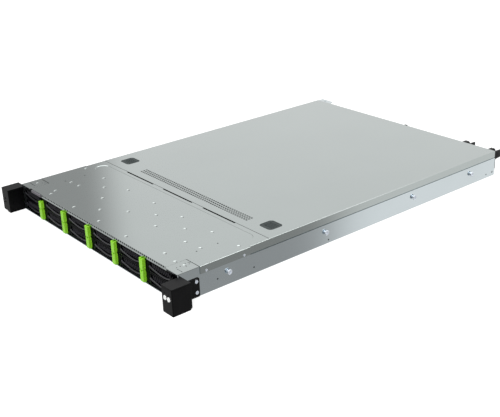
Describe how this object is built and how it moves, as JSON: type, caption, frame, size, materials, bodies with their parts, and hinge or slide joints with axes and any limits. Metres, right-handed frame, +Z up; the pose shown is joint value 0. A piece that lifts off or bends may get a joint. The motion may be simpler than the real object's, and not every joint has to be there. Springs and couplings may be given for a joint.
{
  "type": "rack server",
  "caption": "Shallow rack computer in a zinc steel case with lift-off cover, front drive trays with lime squeeze latches, rack ears and hot-plug power supplies.",
  "frame": {"origin": "on the underside, in the middle of the width, at the plane of the front edge of the case, 2.6 mm in front of the rack face (the rear face of the ears)", "axes": "+X to the right seen from the front, +Y from the rack face to the rear, +Z up"},
  "size_m": [0.4826, 0.7166, 0.0432],
  "materials": {
    "zinc_case": "satin zinc",
    "zinc_cover": "matt zinc",
    "slate_pad": "matt",
    "grey_plastic": "matt",
    "circuit_board": "solder mask",
    "black_plastic": "fine grain",
    "aluminium_fins": "satin",
    "port_metal": "satin",
    "white_button": "gloss",
    "bright_steel": "bright zinc",
    "tray_black": "semi-matt",
    "lime_plastic": "satin",
    "supply_steel": "satin zinc"
  },
  "bodies": {
    "chassis": {"chassis_base": "zinc_case", "front_cover": "zinc_cover", "drive_cage": "zinc_case", "backplane": "circuit_board", "fan_frames": "black_plastic", "mainboard": "circuit_board", "heat_sinks": "aluminium_fins", "memory_modules": "circuit_board", "bay_wall": "zinc_case", "rear_panel": "zinc_case", "slot_blanks": "zinc_case", "rear_ports": "port_metal", "left_ear": "black_plastic", "right_ear": "black_plastic", "rail_studs": "bright_steel", "case_screws": "bright_steel", "thumbscrew": "black_plastic"},
    "top_cover": {"top_cover": "zinc_cover", "finger_pads": "slate_pad"},
    "pull_tag": {"pull_tag": "grey_plastic"},
    "power_button": {"power_button": "white_button"},
    "locate_button": {"locate_button": "white_button"},
    "drive_tray_1": {"drive_tray_1": "tray_black"},
    "tray_latch_1": {"tray_latch_1": "lime_plastic"},
    "drive_tray_2": {"drive_tray_2": "tray_black"},
    "tray_latch_2": {"tray_latch_2": "lime_plastic"},
    "drive_tray_3": {"drive_tray_3": "tray_black"},
    "tray_latch_3": {"tray_latch_3": "lime_plastic"},
    "drive_tray_4": {"drive_tray_4": "tray_black"},
    "tray_latch_4": {"tray_latch_4": "lime_plastic"},
    "drive_tray_5": {"drive_tray_5": "tray_black"},
    "tray_latch_5": {"tray_latch_5": "lime_plastic"},
    "drive_tray_6": {"drive_tray_6": "tray_black"},
    "tray_latch_6": {"tray_latch_6": "tray_black"},
    "drive_tray_7": {"drive_tray_7": "tray_black"},
    "tray_latch_7": {"tray_latch_7": "lime_plastic"},
    "drive_tray_8": {"drive_tray_8": "tray_black"},
    "tray_latch_8": {"tray_latch_8": "lime_plastic"},
    "drive_tray_9": {"drive_tray_9": "tray_black"},
    "tray_latch_9": {"tray_latch_9": "lime_plastic"},
    "drive_tray_10": {"drive_tray_10": "tray_black"},
    "tray_latch_10": {"tray_latch_10": "lime_plastic"},
    "drive_tray_11": {"drive_tray_11": "tray_black"},
    "tray_latch_11": {"tray_latch_11": "lime_plastic"},
    "drive_tray_12": {"drive_tray_12": "tray_black"},
    "tray_latch_12": {"tray_latch_12": "tray_black"},
    "fan_rotor_1": {"fan_rotor_1": "black_plastic"},
    "fan_rotor_2": {"fan_rotor_2": "black_plastic"},
    "fan_rotor_3": {"fan_rotor_3": "black_plastic"},
    "fan_rotor_4": {"fan_rotor_4": "black_plastic"},
    "fan_rotor_5": {"fan_rotor_5": "black_plastic"},
    "fan_rotor_6": {"fan_rotor_6": "black_plastic"},
    "power_supply_1": {"power_supply_1": "supply_steel"},
    "supply_catch_1": {"supply_catch_1": "black_plastic"},
    "power_supply_2": {"power_supply_2": "supply_steel"},
    "supply_catch_2": {"supply_catch_2": "black_plastic"}
  },
  "joints": [
    {"name": "top_cover_lift", "type": "slide", "parent": "chassis", "child": "top_cover", "axis": [0, 0, 1], "range_m": [0, 0.12]},
    {"name": "tag_slide", "type": "slide", "parent": "chassis", "child": "pull_tag", "axis": [0, -1, 0], "range_m": [0, 0.045]},
    {"name": "power_press", "type": "slide", "parent": "chassis", "child": "power_button", "axis": [0, 1, 0], "range_m": [0, 0.0015], "stiffness_N_per_m": 400},
    {"name": "locate_press", "type": "slide", "parent": "chassis", "child": "locate_button", "axis": [0, 1, 0], "range_m": [0, 0.0015], "stiffness_N_per_m": 400},
    {"name": "tray_slide_1", "type": "slide", "parent": "chassis", "child": "drive_tray_1", "axis": [0, -1, 0], "range_m": [0, 0.125]},
    {"name": "latch_squeeze_1", "type": "slide", "parent": "drive_tray_1", "child": "tray_latch_1", "axis": [-1, 0, 0], "range_m": [0, 0.0025], "stiffness_N_per_m": 400},
    {"name": "tray_slide_2", "type": "slide", "parent": "chassis", "child": "drive_tray_2", "axis": [0, -1, 0], "range_m": [0, 0.125]},
    {"name": "latch_squeeze_2", "type": "slide", "parent": "drive_tray_2", "child": "tray_latch_2", "axis": [-1, 0, 0], "range_m": [0, 0.0025], "stiffness_N_per_m": 400},
    {"name": "tray_slide_3", "type": "slide", "parent": "chassis", "child": "drive_tray_3", "axis": [0, -1, 0], "range_m": [0, 0.125]},
    {"name": "latch_squeeze_3", "type": "slide", "parent": "drive_tray_3", "child": "tray_latch_3", "axis": [-1, 0, 0], "range_m": [0, 0.0025], "stiffness_N_per_m": 400},
    {"name": "tray_slide_4", "type": "slide", "parent": "chassis", "child": "drive_tray_4", "axis": [0, -1, 0], "range_m": [0, 0.125]},
    {"name": "latch_squeeze_4", "type": "slide", "parent": "drive_tray_4", "child": "tray_latch_4", "axis": [-1, 0, 0], "range_m": [0, 0.0025], "stiffness_N_per_m": 400},
    {"name": "tray_slide_5", "type": "slide", "parent": "chassis", "child": "drive_tray_5", "axis": [0, -1, 0], "range_m": [0, 0.125]},
    {"name": "latch_squeeze_5", "type": "slide", "parent": "drive_tray_5", "child": "tray_latch_5", "axis": [-1, 0, 0], "range_m": [0, 0.0025], "stiffness_N_per_m": 400},
    {"name": "tray_slide_6", "type": "slide", "parent": "chassis", "child": "drive_tray_6", "axis": [0, -1, 0], "range_m": [0, 0.125]},
    {"name": "latch_squeeze_6", "type": "slide", "parent": "drive_tray_6", "child": "tray_latch_6", "axis": [-1, 0, 0], "range_m": [0, 0.0025], "stiffness_N_per_m": 400},
    {"name": "tray_slide_7", "type": "slide", "parent": "chassis", "child": "drive_tray_7", "axis": [0, -1, 0], "range_m": [0, 0.125]},
    {"name": "latch_squeeze_7", "type": "slide", "parent": "drive_tray_7", "child": "tray_latch_7", "axis": [-1, 0, 0], "range_m": [0, 0.0025], "stiffness_N_per_m": 400},
    {"name": "tray_slide_8", "type": "slide", "parent": "chassis", "child": "drive_tray_8", "axis": [0, -1, 0], "range_m": [0, 0.125]},
    {"name": "latch_squeeze_8", "type": "slide", "parent": "drive_tray_8", "child": "tray_latch_8", "axis": [-1, 0, 0], "range_m": [0, 0.0025], "stiffness_N_per_m": 400},
    {"name": "tray_slide_9", "type": "slide", "parent": "chassis", "child": "drive_tray_9", "axis": [0, -1, 0], "range_m": [0, 0.125]},
    {"name": "latch_squeeze_9", "type": "slide", "parent": "drive_tray_9", "child": "tray_latch_9", "axis": [-1, 0, 0], "range_m": [0, 0.0025], "stiffness_N_per_m": 400},
    {"name": "tray_slide_10", "type": "slide", "parent": "chassis", "child": "drive_tray_10", "axis": [0, -1, 0], "range_m": [0, 0.125]},
    {"name": "latch_squeeze_10", "type": "slide", "parent": "drive_tray_10", "child": "tray_latch_10", "axis": [-1, 0, 0], "range_m": [0, 0.0025], "stiffness_N_per_m": 400},
    {"name": "tray_slide_11", "type": "slide", "parent": "chassis", "child": "drive_tray_11", "axis": [0, -1, 0], "range_m": [0, 0.125]},
    {"name": "latch_squeeze_11", "type": "slide", "parent": "drive_tray_11", "child": "tray_latch_11", "axis": [-1, 0, 0], "range_m": [0, 0.0025], "stiffness_N_per_m": 400},
    {"name": "tray_slide_12", "type": "slide", "parent": "chassis", "child": "drive_tray_12", "axis": [0, -1, 0], "range_m": [0, 0.125]},
    {"name": "latch_squeeze_12", "type": "slide", "parent": "drive_tray_12", "child": "tray_latch_12", "axis": [-1, 0, 0], "range_m": [0, 0.0025], "stiffness_N_per_m": 400},
    {"name": "fan_spin_1", "type": "hinge", "parent": "chassis", "child": "fan_rotor_1", "pos_m": [-0.1815, 0.18, 0.021], "axis": [0, 1, 0], "continuous": true},
    {"name": "fan_spin_2", "type": "hinge", "parent": "chassis", "child": "fan_rotor_2", "pos_m": [-0.1089, 0.18, 0.021], "axis": [0, 1, 0], "continuous": true},
    {"name": "fan_spin_3", "type": "hinge", "parent": "chassis", "child": "fan_rotor_3", "pos_m": [-0.0363, 0.18, 0.021], "axis": [0, 1, 0], "continuous": true},
    {"name": "fan_spin_4", "type": "hinge", "parent": "chassis", "child": "fan_rotor_4", "pos_m": [0.0363, 0.18, 0.021], "axis": [0, 1, 0], "continuous": true},
    {"name": "fan_spin_5", "type": "hinge", "parent": "chassis", "child": "fan_rotor_5", "pos_m": [0.1089, 0.18, 0.021], "axis": [0, 1, 0], "continuous": true},
    {"name": "fan_spin_6", "type": "hinge", "parent": "chassis", "child": "fan_rotor_6", "pos_m": [0.1815, 0.18, 0.021], "axis": [0, 1, 0], "continuous": true},
    {"name": "supply_slide_1", "type": "slide", "parent": "chassis", "child": "power_supply_1", "axis": [0, 1, 0], "range_m": [0, 0.21]},
    {"name": "catch_squeeze_1", "type": "slide", "parent": "power_supply_1", "child": "supply_catch_1", "axis": [-1, 0, 0], "range_m": [0, 0.003], "stiffness_N_per_m": 600},
    {"name": "supply_slide_2", "type": "slide", "parent": "chassis", "child": "power_supply_2", "axis": [0, 1, 0], "range_m": [0, 0.21]},
    {"name": "catch_squeeze_2", "type": "slide", "parent": "power_supply_2", "child": "supply_catch_2", "axis": [-1, 0, 0], "range_m": [0, 0.003], "stiffness_N_per_m": 600}
  ]
}
